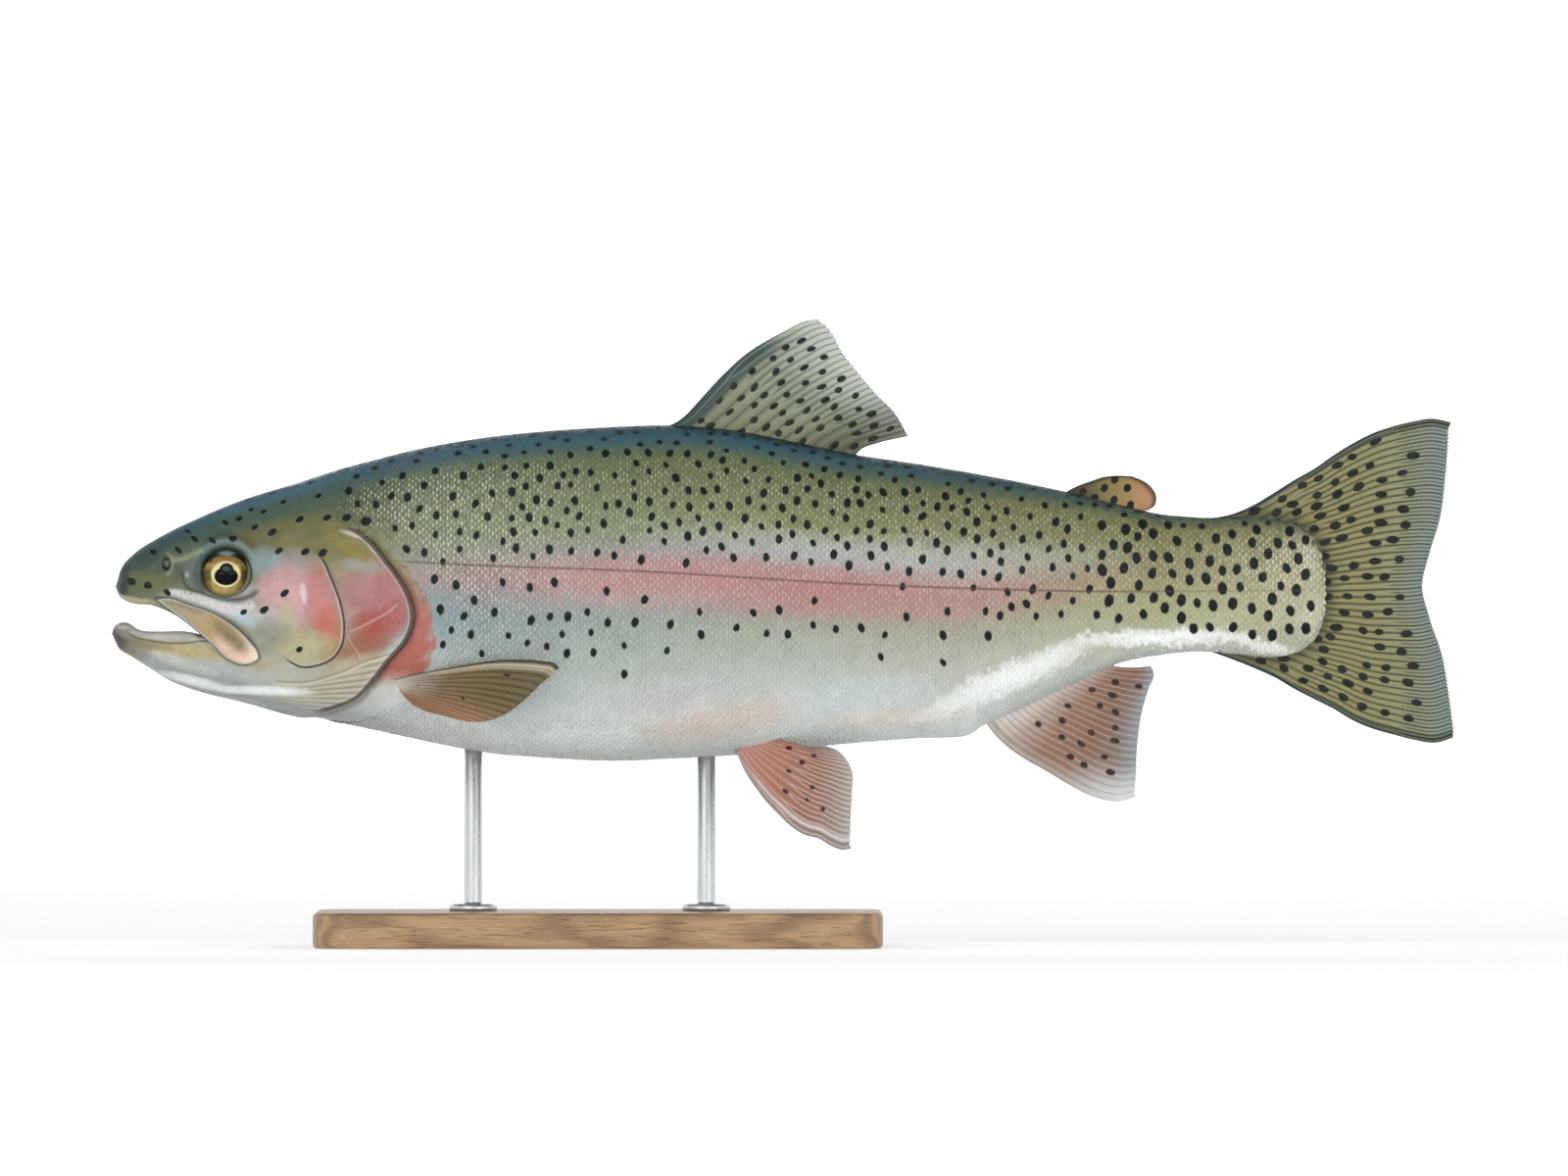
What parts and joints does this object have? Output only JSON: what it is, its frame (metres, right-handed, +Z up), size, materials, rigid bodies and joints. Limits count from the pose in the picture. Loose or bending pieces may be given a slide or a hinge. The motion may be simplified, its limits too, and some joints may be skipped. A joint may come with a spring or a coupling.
{
  "type": "rainbow trout",
  "caption": "Life-size still model of an adult rainbow trout swimming level, mouth ajar, fins spread, held over a flat wooden base by two steel rods.",
  "frame": {"origin": "on the underside of the stand's base, below the middle of the fish's length and in its plane of symmetry", "axes": "-X towards the snout and +X towards the tail, -Y out of the fish's left side, +Z up"},
  "size_m": [0.45, 0.078, 0.21],
  "materials": {
    "skin": "wet, finely scaled; olive back with black spots, rose stripe, silver-white belly",
    "gill_cover": "smooth and wet, rose red with a pale rim",
    "lip": "smooth, pale gold with a grey rim",
    "mouth_flesh": "wet, pale pinkish grey",
    "eye": "glass-clear dome over a gold iris and a black pupil",
    "olive_fin": "rayed membrane, olive with black spots",
    "rosy_fin": "rayed membrane, salmon with a pale margin and faint spots",
    "brown_fin": "rayed membrane, olive brown with an orange root",
    "stand_wood": "pale close-grained wood, satin varnish",
    "stand_steel": "fine brushed"
  },
  "bodies": {
    "root": {"head": "skin", "lower_jaw": "skin", "tongue": "mouth_flesh", "trunk": "skin", "tail_stalk": "skin", "gill_cover_left": "gill_cover", "gill_cover_right": "gill_cover", "maxilla_left": "lip", "maxilla_right": "lip", "eye_left": "eye", "eye_right": "eye", "dorsal_fin": "olive_fin", "adipose_fin": "olive_fin", "tail_fin": "olive_fin", "anal_fin": "rosy_fin", "pelvic_fin_left": "rosy_fin", "pelvic_fin_right": "rosy_fin", "pectoral_fin_left": "brown_fin", "pectoral_fin_right": "brown_fin", "stand_base": "stand_wood", "stand_rod_front": "stand_steel", "stand_rod_rear": "stand_steel"}
  },
  "joints": []
}
